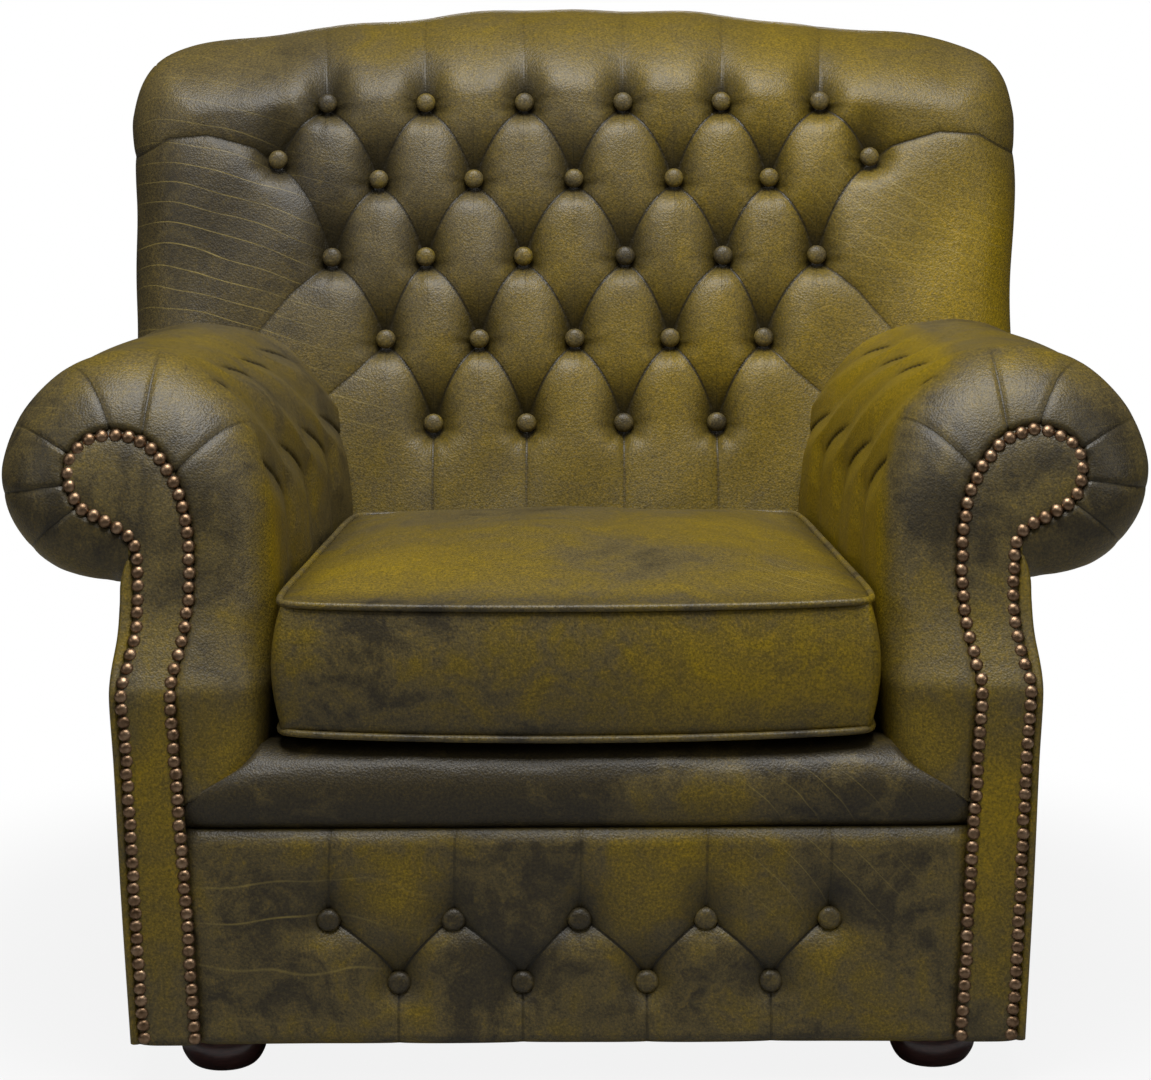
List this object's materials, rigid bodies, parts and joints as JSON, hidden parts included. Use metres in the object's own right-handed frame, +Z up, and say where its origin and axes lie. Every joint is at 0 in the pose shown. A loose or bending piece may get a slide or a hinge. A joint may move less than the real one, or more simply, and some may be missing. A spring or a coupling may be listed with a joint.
{
  "type": "club chair",
  "caption": "Worn deep-buttoned leather club chair with rolled arms, nail-trimmed arm fronts, a loose seat cushion and turned feet.",
  "frame": {"origin": "middle of the footprint, on the floor", "axes": "+X to the right seen from the front, the front faces -Y, +Z up"},
  "size_m": [1.0134, 0.88, 0.918],
  "materials": {
    "green_leather": "worn semi-gloss, olive green with yellow rub marks",
    "hardwood": "plain sawn",
    "mahogany": "dark gloss polish",
    "nail_bronze": "aged bronze",
    "spring_steel": "plain drawn wire",
    "lining_cloth": "black upholstery cloth"
  },
  "bodies": {
    "root": {"apron_button_lower_1": "green_leather", "apron_button_lower_2": "green_leather", "apron_button_lower_3": "green_leather", "apron_button_lower_4": "green_leather", "apron_button_upper_1": "green_leather", "apron_button_upper_2": "green_leather", "apron_button_upper_3": "green_leather", "apron_button_upper_4": "green_leather", "apron_button_upper_5": "green_leather", "back_buttons_row_1": "green_leather", "back_buttons_row_2": "green_leather", "back_buttons_row_3": "green_leather", "back_buttons_row_4": "green_leather", "back_buttons_row_5": "green_leather", "back_lumbar_rail": "hardwood", "back_pad": "green_leather", "back_top_rail": "hardwood", "cushion_piping_bottom": "green_leather", "cushion_piping_top": "green_leather", "dust_cover": "lining_cloth", "front_apron": "green_leather", "front_lip": "green_leather", "front_rail": "hardwood", "left_arm_board": "hardwood", "left_arm_buttons_lower": "green_leather", "left_arm_buttons_upper": "green_leather", "left_arm_facing": "green_leather", "left_arm_pad": "green_leather", "left_arm_stump": "hardwood", "left_back_post": "hardwood", "left_back_side_button": "green_leather", "left_front_foot": "mahogany", "left_nail_trim": "nail_bronze", "left_outside_arm": "green_leather", "left_rear_foot": "mahogany", "left_side_rail": "hardwood", "outside_back_panel": "green_leather", "rear_rail": "hardwood", "right_arm_board": "hardwood", "right_arm_buttons_lower": "green_leather", "right_arm_buttons_upper": "green_leather", "right_arm_facing": "green_leather", "right_arm_pad": "green_leather", "right_arm_stump": "hardwood", "right_back_post": "hardwood", "right_back_side_button": "green_leather", "right_front_foot": "mahogany", "right_nail_trim": "nail_bronze", "right_outside_arm": "green_leather", "right_rear_foot": "mahogany", "right_side_rail": "hardwood", "seat_cushion": "green_leather", "seat_deck": "lining_cloth", "seat_spring_1": "spring_steel", "seat_spring_2": "spring_steel", "seat_spring_3": "spring_steel", "seat_spring_4": "spring_steel", "seat_spring_5": "spring_steel"}
  },
  "joints": []
}
